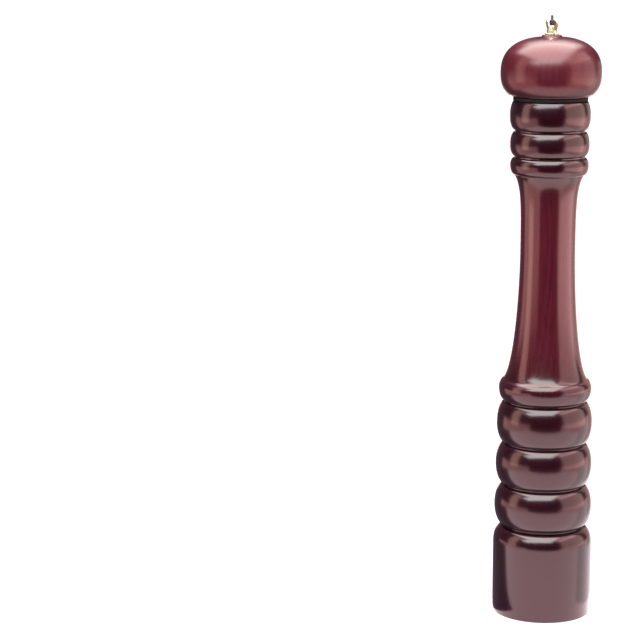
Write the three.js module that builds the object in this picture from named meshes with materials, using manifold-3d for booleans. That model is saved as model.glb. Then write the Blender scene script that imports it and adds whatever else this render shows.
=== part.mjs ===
// A tall turned-wood pepper mill, in millimetres, +Z up.
// The origin is the centre of the foot's flat underside. The mill's axis is +Z.
import * as THREE from 'three';
import { mergeVertices } from 'three/addons/utils/BufferGeometryUtils.js';
import Module from 'manifold-3d';

const wasm = await Module();
wasm.setup();

// ---- driving dimensions -------------------------------------------------------------------

const GAP = 0.3;                // clearance kept between neighbouring pieces
const TURNED_SIDES = 40;        // sides of a turned wooden piece
const ROUND_SIDES = 24;         // sides of a small round metal piece
const HOLE_SIDES = 12;          // sides of a screw and of its hole

// wooden body
const FOOT_RADIUS = 34.9;
const FOOT_EDGE = 0.9;          // chamfer round the underside
const FOOT_WALL_TOP = 51;       // where the foot's straight wall ends
const FOOT_TOP = 62.7;
const BODY_TOP = 364;
const BORE_RADIUS = 13.5;       // pepper chamber
const RECESS_RADIUS = 25.5;     // open recess under the foot
const RECESS_DEPTH = 9;
const BURR_BORE_RADIUS = 18.2;  // bore that holds the burr case and the bridge
const BURR_BORE_TOP = 56.9;

// beads of the body, from the lowest up. Each is widest, at its crown radius, at one height.
const GROOVE_RADIUS = 28;
const LARGE_BEADS = [
  { bottom: 63.5, widest: 78.1, top: 92.7, crown: 34.4 },
  { bottom: 93.5, widest: 108.1, top: 122.8, crown: 33.9 },
  { bottom: 123.6, widest: 138.2, top: 152.9, crown: 33.6 },
];
const SHOULDER_BEAD = { bottom: 153.7, widest: 163, top: 169.4, crown: 32.6 };
const COLLAR_GROOVE_RADIUS = 24;
const COLLAR_BEADS = [
  { bottom: 313.2, widest: 319.8, top: 325.2, crown: 27.2 },
  { bottom: 326, widest: 333.8, top: 343.1, crown: 27.5 },
  { bottom: 343.9, widest: 353.2, top: 365.3, crown: 27.9 },
];
const COLLAR_RIM_RADIUS = 25.7; // flat top of the highest bead, cut off at BODY_TOP

// the long hollow curve between shoulder and collar, as two curves that meet at the waist
const WAIST = [19.2, 255];
const COVE_BOTTOM = [30.4, 168.6];
const COVE_BOTTOM_PULLS = [[24, 172], [19.8, 215]];
const COVE_TOP = [24, 312.9];
const COVE_TOP_PULLS = [[19.1, 292], [19.2, 304]];

// turning ring between body and head
const TURN_WASHER_RADIUS = 25.8;
const TURN_WASHER_THICKNESS = 2.4;

// wooden head
const HEAD_BOTTOM = BODY_TOP + TURN_WASHER_THICKNESS + 2 * GAP;
const HEAD_RADIUS = 34.7;
const HEAD_EQUATOR = 382.8;
const HEAD_CROWN = 408.2;
const HEAD_UNDER_REACH = 21.9;  // half height of the curve under the equator
const HEAD_UNDER_SHARE = 0.66;  // share of that curve above the neck
const HEAD_NECK_RADIUS = 26.9;
const HEAD_NECK_TOP = 368.1;
const HEAD_BOSS_RADIUS = 6.8;   // flat seat of the nut
const HEAD_BOSS_TOP = 409.0;
const BOSS_FILLET = 0.3;
const DOME_FULLNESS = 2.5;      // exponent of the head's curve, 2 being an ellipse
const TENON_RADIUS = BORE_RADIUS - GAP;
const TENON_BOTTOM = 349.5;
const HEAD_BORE_RADIUS = 4.8;
const HEAD_BORE_TOP = 402;

// square shaft with a threaded top and a round journal at the bottom
const SHAFT_WIDTH = 6;
const SHAFT_BOTTOM = 4;
const SQUARE_BOTTOM = 14.5;
const SQUARE_TOP = 399;
const JOURNAL_RADIUS = 2.5;
const THREAD_RADIUS = 2;        // M4
const THREAD_TOP = 419;
const PILOT_RADIUS = 1;
const PILOT_TOP = 422.5;
const CLIP_GROOVE_RADIUS = 1.9;
const CLIP_GROOVE_BOTTOM = SQUARE_BOTTOM - 2.7;
const CLIP_THICKNESS = 0.8;
const CLIP_RADIUS = 4.6;

// nut and its washer
const NUT_WASHER_RADIUS = 4.9;
const NUT_WASHER_THICKNESS = 0.8;
const NUT_HUB_RADIUS = 3.5;
const NUT_HUB_HEIGHT = 5;
const NUT_BORE_RADIUS = THREAD_RADIUS + GAP;
const NUT_SHOULDER = 1;         // height of the straight wall at the hub's foot
const WING_THICKNESS = 1.7;
const WING_TIP_RADIUS = 1.9;
const WING_REACH = 8.6;         // from the axis to the tip of a wing
const WING_HEIGHT = 8.6;
const NUT_REST_ANGLE = THREE.MathUtils.degToRad(-70);

// slot across a screw's head
const SLOT_WIDTH = 0.7;
const SLOT_DEPTH = 0.4;

// drive plate under the head's tenon
const DRIVE_PLATE_RADIUS = 12.2;
const DRIVE_PLATE_THICKNESS = 1.3;
const DRIVE_SCREW_OFFSET = 8.2;
const DRIVE_SCREW = { shankRadius: 1, headRadius: 2.2, headHeight: 1.3, length: 9.5 };

// burrs
const CONE_BURR_TOP = 31;
const CONE_BURR_FOOT_RADIUS = 12.9;
const GRIND_ZONE_TOP = 20;      // top of the matched cones
const GRIND_SLOPE = 0.23;       // radius lost per millimetre of height
const GRIND_GAP = 0.5;
const CONE_TEETH = 12;
const RING_TEETH = 18;
const CONE_TWIST = THREE.MathUtils.degToRad(3.2);   // helix of the teeth, per millimetre
const RING_TWIST = THREE.MathUtils.degToRad(-1.6);
const RING_BURR_TOP = 30;
// the cones above the grinding zone, as [radius, height]
const CONE_BURR_UPPER = [[10.6, 24], [8.8, 28], [7.9, CONE_BURR_TOP]];
const RING_BURR_MOUTH = [[13.2, RING_BURR_TOP], [11.6, RING_BURR_TOP - 3]];
// the cone's teeth deepen from fine to coarse over a range of heights
const CONE_TOOTH_FINE = 0.5;
const CONE_TOOTH_COARSE = 1.8;
const CONE_TOOTH_RANGE = [15, 26];
const RING_TOOTH_DEPTH = 1;

// burr case, bridge, spring and washers
const CASE_RADIUS = BURR_BORE_RADIUS - GAP;
const CASE_WALL = 1;
const CASE_BEAD_INNER_RADIUS = 15.6;
const CASE_BEAD_LIP = 1.4;      // height of the case bead's inner edge
const CASE_BEAD_HEIGHT = 2.2;
const CASE_TOP = 54.7;
const BRIDGE_THICKNESS = 1.6;
const BRIDGE_HUB_RADIUS = 7.2;
const BRIDGE_RIM_RADIUS = 13;
const BRIDGE_ARM_WIDTH = 3.2;
const BRIDGE_ARMS = 4;
const SHAFT_GUIDE_RADIUS = 4.8;
const SPRING_RADIUS = 6.3;
const SPRING_WIRE_RADIUS = 0.6;
const SPRING_TURNS = 5;
const SPRING_STEPS_PER_TURN = 12;
const SPRING_PLAY = 0.7;        // room above the spring for the finest grind
const SPRING_SEAT_THICKNESS = 0.8;
const SPRING_SEAT_RADIUS = 7.4;
const THRUST_WASHER_THICKNESS = 1;
const THRUST_WASHER_RADIUS = 6;

// cross bar under the burrs
const BAR_THICKNESS = 1.7;
const BAR_TOP = RECESS_DEPTH - GAP;
const BAR_WIDTH = 9;
const BAR_REACH = 25;
const BAR_BOSS_RADIUS = 7.2;
const BAR_SCREW_OFFSET = 21.2;
const BAR_SCREW = { shankRadius: 1.3, headRadius: 2.7, headHeight: 1.5, length: 15 };
const BUSH_RADIUS = 3.6;
const BUSH_FLANGE_RADIUS = 5.2;
const BUSH_FLANGE_THICKNESS = 0.9;

// ---- materials ----------------------------------------------------------------------------

function finish(colour, roughness, metalness) {
  return () => new THREE.MeshStandardMaterial({ color: colour, roughness, metalness });
}
const stainedWood = finish(0x6e2b24, 0.3, 0);
const blackFibre = finish(0x14100f, 0.7, 0);
const paleBrass = finish(0xd8c27a, 0.3, 1);
const darkSteel = finish(0x4a4644, 0.4, 1);
const plateSteel = finish(0x9a9a9a, 0.35, 1);
const burrSteel = finish(0x6f6d6b, 0.5, 1);

// ---- solids -------------------------------------------------------------------------------

// A closed three.js geometry as a solid that can be joined and cut.
function solid(geometry) {
  const bare = geometry.clone();
  bare.deleteAttribute('normal');
  bare.deleteAttribute('uv');
  const merged = mergeVertices(bare, 1e-4);
  return new wasm.Manifold(new wasm.Mesh({
    numProp: 3,
    vertProperties: new Float32Array(merged.attributes.position.array),
    triVerts: new Uint32Array(merged.index.array),
  }));
}

function geometryOf(body) {
  const mesh = body.getMesh();
  const geometry = new THREE.BufferGeometry();
  geometry.setAttribute('position', new THREE.BufferAttribute(mesh.vertProperties, 3));
  geometry.setIndex(new THREE.BufferAttribute(mesh.triVerts, 1));
  return geometry;
}

// A profile of [radius, height] points, turned about +Z. It starts and ends on the axis,
// or its last point is its first.
function turned(profile, sides = ROUND_SIDES) {
  const points = profile.map(([radius, height]) => new THREE.Vector2(radius, height));
  const geometry = new THREE.LatheGeometry(points, sides);
  return geometry.rotateX(Math.PI / 2);
}

function disc(radius, bottom, top, sides = ROUND_SIDES) {
  return turned([[0, bottom], [radius, bottom], [radius, top], [0, top]], sides);
}

function ring(innerRadius, outerRadius, bottom, top, sides = ROUND_SIDES) {
  return turned([
    [innerRadius, bottom],
    [outerRadius, bottom],
    [outerRadius, top],
    [innerRadius, top],
    [innerRadius, bottom],
  ], sides);
}

function squareBar(width, bottom, top) {
  const bar = new THREE.BoxGeometry(width, width, top - bottom);
  return bar.translate(0, 0, (bottom + top) / 2);
}

// ---- curves -------------------------------------------------------------------------------

// Half height of a rounded form at a fraction of its width: 1 in the middle, 0 at the edge.
function roundness(fraction, fullness) {
  return (1 - Math.abs(fraction) ** fullness) ** (1 / fullness);
}

// A bead between two grooves, from its bottom to its top: two quarters of an ellipse.
function bead({ bottom, widest, top, crown }, grooveRadius, steps) {
  const points = [];
  for (let step = 0; step <= steps; step += 1) {
    const across = -Math.cos((Math.PI * step) / steps);
    const reach = across < 0 ? widest - bottom : top - widest;
    const radius = grooveRadius + (crown - grooveRadius) * roundness(across, 2);
    points.push([radius, widest + across * reach]);
  }
  return points;
}

function cove(start, pull, ease, end, steps) {
  const curve = new THREE.CubicBezierCurve(
    new THREE.Vector2(...start),
    new THREE.Vector2(...pull),
    new THREE.Vector2(...ease),
    new THREE.Vector2(...end),
  );
  return curve.getPoints(steps).map((point) => [point.x, point.y]);
}

// ---- wooden pieces ------------------------------------------------------------------------

function footOutline() {
  const shoulder = [];
  const steps = 5;
  for (let step = 0; step <= steps; step += 1) {
    const rise = Math.sin((Math.PI / 2) * (step / steps));
    const radius = GROOVE_RADIUS + (FOOT_RADIUS - GROOVE_RADIUS) * roundness(rise, 2);
    shoulder.push([radius, FOOT_WALL_TOP + rise * (FOOT_TOP - FOOT_WALL_TOP)]);
  }
  return [[FOOT_RADIUS - FOOT_EDGE, 0], [FOOT_RADIUS, FOOT_EDGE], ...shoulder];
}

function bodyOutline() {
  const shoulder = bead(SHOULDER_BEAD, GROOVE_RADIUS, 8);
  const collar = COLLAR_BEADS.flatMap((one) => bead(one, COLLAR_GROOVE_RADIUS, 6));
  return [
    ...footOutline(),
    ...LARGE_BEADS.flatMap((one) => bead(one, GROOVE_RADIUS, 8)),
    ...shoulder.filter(([, height]) => height < COVE_BOTTOM[1]),
    ...cove(COVE_BOTTOM, ...COVE_BOTTOM_PULLS, WAIST, 8),
    ...cove(WAIST, ...COVE_TOP_PULLS, COVE_TOP, 7).slice(1),
    ...collar.filter(([, height]) => height < BODY_TOP),
    [COLLAR_RIM_RADIUS, BODY_TOP],
  ];
}

function bodyPiece() {
  const outline = bodyOutline();
  const bores = [
    [BORE_RADIUS, BODY_TOP],
    [BORE_RADIUS, BURR_BORE_TOP],
    [BURR_BORE_RADIUS, BURR_BORE_TOP],
    [BURR_BORE_RADIUS, RECESS_DEPTH],
    [RECESS_RADIUS, RECESS_DEPTH],
    [RECESS_RADIUS, 0],
  ];
  let wood = solid(turned([...outline, ...bores, outline[0]], TURNED_SIDES));
  const holeTop = BAR_TOP + BAR_SCREW.length;
  for (const side of [-1, 1]) {
    const hole = disc(BAR_SCREW.shankRadius + GAP, RECESS_DEPTH - 1, holeTop, HOLE_SIDES);
    wood = wood.subtract(solid(hole.translate(side * BAR_SCREW_OFFSET, 0, 0)));
  }
  return geometryOf(wood);
}

function headOutline() {
  const under = [];
  const underSteps = 5;
  for (let step = 0; step <= underSteps; step += 1) {
    const drop = HEAD_UNDER_SHARE * (1 - step / underSteps);
    under.push([
      HEAD_RADIUS * roundness(drop, DOME_FULLNESS),
      HEAD_EQUATOR - drop * HEAD_UNDER_REACH,
    ]);
  }
  const dome = [];
  const domeSteps = 12;
  for (let step = 1; step < domeSteps; step += 1) {
    const rise = Math.sin((Math.PI / 2) * (step / domeSteps));
    dome.push([
      HEAD_RADIUS * roundness(rise, DOME_FULLNESS),
      HEAD_EQUATOR + rise * (HEAD_CROWN - HEAD_EQUATOR),
    ]);
  }
  const outsideBoss = ([radius]) => radius > HEAD_BOSS_RADIUS + BOSS_FILLET;
  return [...under, ...dome.filter(outsideBoss)];
}

function headPiece() {
  const profile = [
    [0, TENON_BOTTOM],
    [TENON_RADIUS, TENON_BOTTOM],
    [TENON_RADIUS, HEAD_BOTTOM],
    [HEAD_NECK_RADIUS - 1, HEAD_BOTTOM],
    [HEAD_NECK_RADIUS, HEAD_BOTTOM + 0.5],
    [HEAD_NECK_RADIUS + 0.3, HEAD_NECK_TOP],
    ...headOutline(),
    [HEAD_BOSS_RADIUS + BOSS_FILLET, HEAD_CROWN - 0.25],
    [HEAD_BOSS_RADIUS, HEAD_BOSS_TOP - 0.3],
    [HEAD_BOSS_RADIUS - 0.4, HEAD_BOSS_TOP],
    [0, HEAD_BOSS_TOP],
  ];
  let wood = solid(turned(profile, TURNED_SIDES));
  wood = wood.subtract(solid(disc(HEAD_BORE_RADIUS, TENON_BOTTOM - 1, HEAD_BORE_TOP)));
  wood = wood.subtract(solid(disc(THREAD_RADIUS + 0.5, HEAD_BORE_TOP - 1, HEAD_BOSS_TOP + 1)));
  const holeTop = TENON_BOTTOM - GAP - DRIVE_PLATE_THICKNESS - GAP + DRIVE_SCREW.length;
  for (const side of [-1, 1]) {
    const hole = disc(DRIVE_SCREW.shankRadius + GAP, TENON_BOTTOM - 1, holeTop, HOLE_SIDES);
    wood = wood.subtract(solid(hole.translate(side * DRIVE_SCREW_OFFSET, 0, 0)));
  }
  return geometryOf(wood);
}

// ---- metal pieces -------------------------------------------------------------------------

// A pan-head screw pointing up. seat is the height of the underside that its head bears on.
function screw({ shankRadius, headRadius, headHeight, length }, seat) {
  const crown = seat - headHeight;
  const profile = [
    [0, crown],
    [headRadius * 0.6, crown + 0.1],
    [headRadius * 0.9, crown + headHeight * 0.35],
    [headRadius, crown + headHeight * 0.7],
    [headRadius, seat],
    [shankRadius, seat],
    [shankRadius, seat + length - 2.5],
    [0, seat + length - 0.5],
  ];
  const slot = new THREE.BoxGeometry(headRadius * 3, SLOT_WIDTH, 2 * SLOT_DEPTH);
  const turnedScrew = solid(turned(profile, HOLE_SIDES));
  return geometryOf(turnedScrew.subtract(solid(slot.translate(0, 0, crown))));
}

function drivePlatePiece() {
  const top = TENON_BOTTOM - GAP;
  const bottom = top - DRIVE_PLATE_THICKNESS;
  let plate = solid(disc(DRIVE_PLATE_RADIUS, bottom, top));
  plate = plate.subtract(solid(squareBar(SHAFT_WIDTH + 2 * GAP, bottom - 1, top + 1)));
  for (const side of [-1, 1]) {
    const hole = disc(DRIVE_SCREW.shankRadius + GAP, bottom - 1, top + 1, HOLE_SIDES);
    plate = plate.subtract(solid(hole.translate(side * DRIVE_SCREW_OFFSET, 0, 0)));
  }
  return geometryOf(plate);
}

function shaftPiece() {
  const groove = CLIP_GROOVE_BOTTOM;
  const lower = turned([
    [0, SHAFT_BOTTOM],
    [JOURNAL_RADIUS - 0.5, SHAFT_BOTTOM],
    [JOURNAL_RADIUS, SHAFT_BOTTOM + 0.5],
    [JOURNAL_RADIUS, groove],
    [CLIP_GROOVE_RADIUS, groove],
    [CLIP_GROOVE_RADIUS, groove + CLIP_THICKNESS + 2 * GAP],
    [JOURNAL_RADIUS, groove + CLIP_THICKNESS + 2 * GAP],
    [JOURNAL_RADIUS, SQUARE_BOTTOM + 1],
    [0, SQUARE_BOTTOM + 1],
  ], HOLE_SIDES);
  const upper = turned([
    [0, SQUARE_TOP - 1],
    [THREAD_RADIUS, SQUARE_TOP - 1],
    [THREAD_RADIUS, THREAD_TOP - 0.6],
    [PILOT_RADIUS + 0.4, THREAD_TOP],
    [PILOT_RADIUS, THREAD_TOP + 0.2],
    [PILOT_RADIUS, PILOT_TOP - 0.4],
    [PILOT_RADIUS * 0.5, PILOT_TOP],
    [0, PILOT_TOP],
  ], HOLE_SIDES);
  const square = solid(squareBar(SHAFT_WIDTH, SQUARE_BOTTOM, SQUARE_TOP));
  return geometryOf(square.add(solid(lower)).add(solid(upper)));
}

// One wing of the nut, reaching along +X from the hub.
function wing() {
  const tip = WING_TIP_RADIUS;
  const outline = new THREE.Shape();
  outline.moveTo(2.5, 0.6);
  outline.quadraticCurveTo(5.2, 0.9, WING_REACH - 0.6, WING_HEIGHT - 2 * tip);
  outline.absarc(WING_REACH - tip, WING_HEIGHT - tip, tip, -0.5, Math.PI - 0.4, false);
  outline.quadraticCurveTo(4.6, 4.4, 2.5, 4.2);
  const plate = new THREE.ExtrudeGeometry(outline, {
    depth: WING_THICKNESS,
    bevelEnabled: false,
    curveSegments: 6,
  });
  return plate.rotateX(Math.PI / 2).translate(0, WING_THICKNESS / 2, 0);
}

function wingNutPiece() {
  const hub = turned([
    [0, 0],
    [NUT_HUB_RADIUS, 0],
    [NUT_HUB_RADIUS, NUT_SHOULDER],
    [NUT_HUB_RADIUS * 0.84, NUT_HUB_HEIGHT - 0.4],
    [NUT_HUB_RADIUS * 0.76, NUT_HUB_HEIGHT],
    [0, NUT_HUB_HEIGHT],
  ]);
  let nut = solid(hub).add(solid(wing())).add(solid(wing().rotateZ(Math.PI)));
  nut = nut.subtract(solid(disc(NUT_BORE_RADIUS, -1, WING_HEIGHT + 1, HOLE_SIDES)));
  return geometryOf(nut).rotateZ(NUT_REST_ANGLE);
}

// Shapes the teeth of a burr: sinks each vertex into the burr by the saw profile of the teeth,
// then twists the burr about +Z. inward is -1 for teeth on the outside and 1 for a ring's teeth.
function cutTeeth(geometry, { teeth, twist, depthAt, inward }) {
  const place = geometry.attributes.position;
  for (let index = 0; index < place.count; index += 1) {
    const x = place.getX(index);
    const y = place.getY(index);
    const z = place.getZ(index);
    const radius = Math.hypot(x, y);
    const angle = Math.atan2(y, x);
    const phase = ((angle / (2 * Math.PI)) * teeth + 2 * teeth + 1e-6) % 1;
    const cut = radius + inward * depthAt(radius, z) * phase;
    place.setXY(index, cut * Math.cos(angle + twist * z), cut * Math.sin(angle + twist * z));
  }
  return geometry;
}

function coneBurrPiece() {
  const grindTopRadius = CONE_BURR_FOOT_RADIUS - GRIND_SLOPE * (GRIND_ZONE_TOP - SQUARE_BOTTOM);
  const cone = turned([
    [0, SQUARE_BOTTOM],
    [CONE_BURR_FOOT_RADIUS - 0.8, SQUARE_BOTTOM],
    [CONE_BURR_FOOT_RADIUS, SQUARE_BOTTOM + 0.6],
    [(CONE_BURR_FOOT_RADIUS + grindTopRadius) / 2, (SQUARE_BOTTOM + GRIND_ZONE_TOP) / 2],
    [grindTopRadius, GRIND_ZONE_TOP],
    ...CONE_BURR_UPPER,
    [0, CONE_BURR_TOP],
  ], CONE_TEETH * 5);
  const toothDepth = (radius, z) => {
    const coarse = THREE.MathUtils.smoothstep(z, ...CONE_TOOTH_RANGE);
    const depth = CONE_TOOTH_FINE + (CONE_TOOTH_COARSE - CONE_TOOTH_FINE) * coarse;
    return radius < SHAFT_WIDTH ? 0 : depth;
  };
  cutTeeth(cone, { teeth: CONE_TEETH, twist: CONE_TWIST, depthAt: toothDepth, inward: -1 });
  const hole = squareBar(SHAFT_WIDTH + 2 * GAP, SQUARE_BOTTOM - 1, CONE_BURR_TOP + 1);
  return geometryOf(solid(cone).subtract(solid(hole)));
}

function ringBurrPiece() {
  const outer = CASE_RADIUS - CASE_WALL - GAP;
  const atHeight = (z) => CONE_BURR_FOOT_RADIUS + GRIND_GAP - GRIND_SLOPE * (z - SQUARE_BOTTOM);
  const burr = turned([
    [atHeight(RECESS_DEPTH), RECESS_DEPTH],
    [outer, RECESS_DEPTH],
    [outer, RING_BURR_TOP],
    ...RING_BURR_MOUTH,
    [atHeight(GRIND_ZONE_TOP), GRIND_ZONE_TOP],
    [atHeight(SQUARE_BOTTOM), SQUARE_BOTTOM],
    [atHeight(RECESS_DEPTH), RECESS_DEPTH],
  ], RING_TEETH * 4);
  const toothDepth = (radius) => (radius > outer - 1 ? 0 : RING_TOOTH_DEPTH);
  return cutTeeth(burr, { teeth: RING_TEETH, twist: RING_TWIST, depthAt: toothDepth, inward: 1 });
}

function burrCasePiece() {
  const inner = CASE_RADIUS - CASE_WALL;
  const beadBottom = RING_BURR_TOP + GAP;
  return turned([
    [inner, RECESS_DEPTH],
    [CASE_RADIUS, RECESS_DEPTH],
    [CASE_RADIUS, CASE_TOP],
    [inner, CASE_TOP],
    [inner, beadBottom + CASE_BEAD_HEIGHT],
    [CASE_BEAD_INNER_RADIUS, beadBottom + CASE_BEAD_LIP],
    [CASE_BEAD_INNER_RADIUS, beadBottom],
    [inner, beadBottom],
    [inner, RECESS_DEPTH],
  ]);
}

function guideBridgePiece() {
  const bottom = CASE_TOP + GAP;
  const top = bottom + BRIDGE_THICKNESS;
  const arms = [];
  for (let arm = 0; arm < BRIDGE_ARMS; arm += 1) {
    const reach = BRIDGE_RIM_RADIUS + 1;
    const plate = new THREE.BoxGeometry(reach, BRIDGE_ARM_WIDTH, BRIDGE_THICKNESS);
    plate.translate(reach / 2, 0, (bottom + top) / 2);
    arms.push(plate.rotateZ(((arm + 0.5) * 2 * Math.PI) / BRIDGE_ARMS));
  }
  let bridge = solid(ring(BRIDGE_RIM_RADIUS, CASE_RADIUS, bottom, top));
  bridge = bridge.add(solid(disc(BRIDGE_HUB_RADIUS, bottom, top)));
  for (const arm of arms) {
    bridge = bridge.add(solid(arm));
  }
  return geometryOf(bridge.subtract(solid(disc(SHAFT_GUIDE_RADIUS, bottom - 1, top + 1))));
}

class Helix extends THREE.Curve {
  constructor(radius, bottom, top, turns) {
    super();
    Object.assign(this, { radius, bottom, top, turns });
  }

  getPoint(t, target = new THREE.Vector3()) {
    const angle = 2 * Math.PI * this.turns * t;
    const height = this.bottom + (this.top - this.bottom) * t;
    return target.set(this.radius * Math.cos(angle), this.radius * Math.sin(angle), height);
  }
}

function springPiece() {
  const bottom = CONE_BURR_TOP + GAP + SPRING_SEAT_THICKNESS + GAP + SPRING_WIRE_RADIUS;
  const top = CASE_TOP + GAP - SPRING_PLAY - SPRING_WIRE_RADIUS;
  const wire = new THREE.Shape();
  wire.absarc(0, 0, SPRING_WIRE_RADIUS, 0, 2 * Math.PI, false);
  return new THREE.ExtrudeGeometry(wire, {
    steps: SPRING_TURNS * SPRING_STEPS_PER_TURN,
    curveSegments: 3,
    extrudePath: new Helix(SPRING_RADIUS, bottom, top, SPRING_TURNS),
  });
}

function retainingClipPiece() {
  const bottom = CLIP_GROOVE_BOTTOM + GAP;
  const top = bottom + CLIP_THICKNESS;
  const inner = CLIP_GROOVE_RADIUS + GAP;
  const mouth = new THREE.BoxGeometry(6, 2 * inner - 0.6, 4);
  const clip = solid(ring(inner, CLIP_RADIUS, bottom, top));
  return geometryOf(clip.subtract(solid(mouth.translate(4, 0, (bottom + top) / 2))));
}

function crossBarPiece() {
  const bottom = BAR_TOP - BAR_THICKNESS;
  const end = BAR_WIDTH / 2;
  const outline = new THREE.Shape();
  outline.absarc(BAR_REACH - end, 0, end, -Math.PI / 2, Math.PI / 2, false);
  outline.absarc(end - BAR_REACH, 0, end, Math.PI / 2, (3 * Math.PI) / 2, false);
  const strap = new THREE.ExtrudeGeometry(outline, {
    depth: BAR_THICKNESS,
    bevelEnabled: false,
    curveSegments: 10,
  });
  let bar = solid(strap.translate(0, 0, bottom));
  bar = bar.add(solid(disc(BAR_BOSS_RADIUS, bottom, BAR_TOP)));
  bar = bar.subtract(solid(disc(BUSH_RADIUS + GAP, bottom - 1, BAR_TOP + 1)));
  for (const side of [-1, 1]) {
    const hole = disc(BAR_SCREW.shankRadius + GAP, bottom - 1, BAR_TOP + 1, HOLE_SIDES);
    bar = bar.subtract(solid(hole.translate(side * BAR_SCREW_OFFSET, 0, 0)));
  }
  return geometryOf(bar);
}

function crossBarBushPiece() {
  const inner = JOURNAL_RADIUS + GAP;
  const flangeBottom = BAR_TOP + GAP;
  const bottom = BAR_TOP - BAR_THICKNESS;
  return turned([
    [inner, bottom],
    [BUSH_RADIUS, bottom],
    [BUSH_RADIUS, flangeBottom],
    [BUSH_FLANGE_RADIUS, flangeBottom],
    [BUSH_FLANGE_RADIUS, flangeBottom + BUSH_FLANGE_THICKNESS],
    [inner, flangeBottom + BUSH_FLANGE_THICKNESS],
    [inner, bottom],
  ]);
}

// ---- assembly -----------------------------------------------------------------------------

const mill = new THREE.Group();

function place(name, geometry, material, x = 0, z = 0) {
  const mesh = new THREE.Mesh(geometry, material());
  mesh.name = name;
  mesh.position.set(x, 0, z);
  mill.add(mesh);
}

const turnWasherBottom = BODY_TOP + GAP;
const nutWasherBottom = HEAD_BOSS_TOP + GAP;
const nutBottom = nutWasherBottom + NUT_WASHER_THICKNESS + GAP;
const springSeatBottom = CONE_BURR_TOP + GAP;
const thrustWasherTop = SQUARE_BOTTOM - GAP;
const plateBottom = TENON_BOTTOM - GAP - DRIVE_PLATE_THICKNESS;
const barBottom = BAR_TOP - BAR_THICKNESS;

place('body', bodyPiece(), stainedWood);
place('head', headPiece(), stainedWood);
place('turn_washer', ring(
  TENON_RADIUS + 0.4,
  TURN_WASHER_RADIUS,
  turnWasherBottom,
  turnWasherBottom + TURN_WASHER_THICKNESS,
  TURNED_SIDES,
), blackFibre);
place('nut_washer', ring(
  NUT_BORE_RADIUS,
  NUT_WASHER_RADIUS,
  nutWasherBottom,
  nutWasherBottom + NUT_WASHER_THICKNESS,
), paleBrass);
place('wing_nut', wingNutPiece(), paleBrass, 0, nutBottom);
place('drive_shaft', shaftPiece(), darkSteel);
place('drive_plate', drivePlatePiece(), plateSteel);
place('cone_burr', coneBurrPiece(), burrSteel);
place('ring_burr', ringBurrPiece(), burrSteel);
place('burr_case', burrCasePiece(), plateSteel);
place('guide_bridge', guideBridgePiece(), plateSteel);
place('burr_spring', springPiece(), plateSteel);
place('spring_seat', ring(
  SHAFT_GUIDE_RADIUS,
  SPRING_SEAT_RADIUS,
  springSeatBottom,
  springSeatBottom + SPRING_SEAT_THICKNESS,
), plateSteel);
place('thrust_washer', ring(
  JOURNAL_RADIUS + GAP,
  THRUST_WASHER_RADIUS,
  thrustWasherTop - THRUST_WASHER_THICKNESS,
  thrustWasherTop,
), plateSteel);
place('retaining_clip', retainingClipPiece(), darkSteel);
place('cross_bar', crossBarPiece(), plateSteel);
place('cross_bar_bush', crossBarBushPiece(), paleBrass);
for (const [label, side] of [['left', -1], ['right', 1]]) {
  const driveScrew = screw(DRIVE_SCREW, plateBottom - GAP);
  const barScrew = screw(BAR_SCREW, barBottom - GAP);
  place(`drive_plate_screw_${label}`, driveScrew, plateSteel, side * DRIVE_SCREW_OFFSET);
  place(`cross_bar_screw_${label}`, barScrew, plateSteel, side * BAR_SCREW_OFFSET);
}

export default mill;
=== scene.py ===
import math

import bmesh
import bpy
from mathutils import Matrix, Vector


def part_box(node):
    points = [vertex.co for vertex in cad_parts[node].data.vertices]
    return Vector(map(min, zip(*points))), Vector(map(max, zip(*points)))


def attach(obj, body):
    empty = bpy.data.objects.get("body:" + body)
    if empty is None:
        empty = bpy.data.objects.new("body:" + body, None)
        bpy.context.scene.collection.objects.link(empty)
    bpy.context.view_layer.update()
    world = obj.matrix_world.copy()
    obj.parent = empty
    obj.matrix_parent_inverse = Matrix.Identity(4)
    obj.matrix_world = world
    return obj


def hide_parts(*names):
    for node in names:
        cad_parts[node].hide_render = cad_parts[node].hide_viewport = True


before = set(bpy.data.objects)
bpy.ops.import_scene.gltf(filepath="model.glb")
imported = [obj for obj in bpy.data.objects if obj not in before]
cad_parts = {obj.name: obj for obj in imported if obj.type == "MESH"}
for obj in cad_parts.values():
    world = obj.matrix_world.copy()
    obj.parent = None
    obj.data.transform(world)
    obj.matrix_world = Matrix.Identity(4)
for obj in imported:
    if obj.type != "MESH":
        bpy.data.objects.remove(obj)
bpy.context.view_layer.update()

MM = 0.001
CIRCLE = 2 * math.pi

# ---- sizes, in millimetres unless a name says otherwise ------------------------------------

TURNED_SIDES = 192              # sides of a turned wooden piece
ROUND_SIDES = 72                # sides of a small round metal piece
PIN_SIDES = 48                  # sides of a screw's head and of the shaft's journal
THREAD_SIDES = 36
SHARP = 35                      # degrees between two faces, from which their edge stays sharp
JOINED_SHARP = 40               # the same for a piece that is cut or joined
WELD = 1e-4                     # points nearer than this are one

FOOT_EDGE = 0.9
FOOT_WALL_TOP = 51.0
FOOT_TOP = 62.7

# beads: bottom, widest height, top, crown radius
GROOVE_RADIUS = 28.0
LARGE_BEADS = ((63.5, 78.1, 92.7, 34.4), (93.5, 108.1, 122.8, 33.9), (123.6, 138.2, 152.9, 33.6))
SHOULDER_BEAD = (153.7, 163.0, 169.4, 32.6)
COLLAR_GROOVE_RADIUS = 24.0
COLLAR_BEADS = ((313.2, 319.8, 325.2, 27.2), (326.0, 333.8, 343.1, 27.5),
                (343.9, 353.2, 365.3, 27.9))
COLLAR_RIM_RADIUS = 25.7

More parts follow.
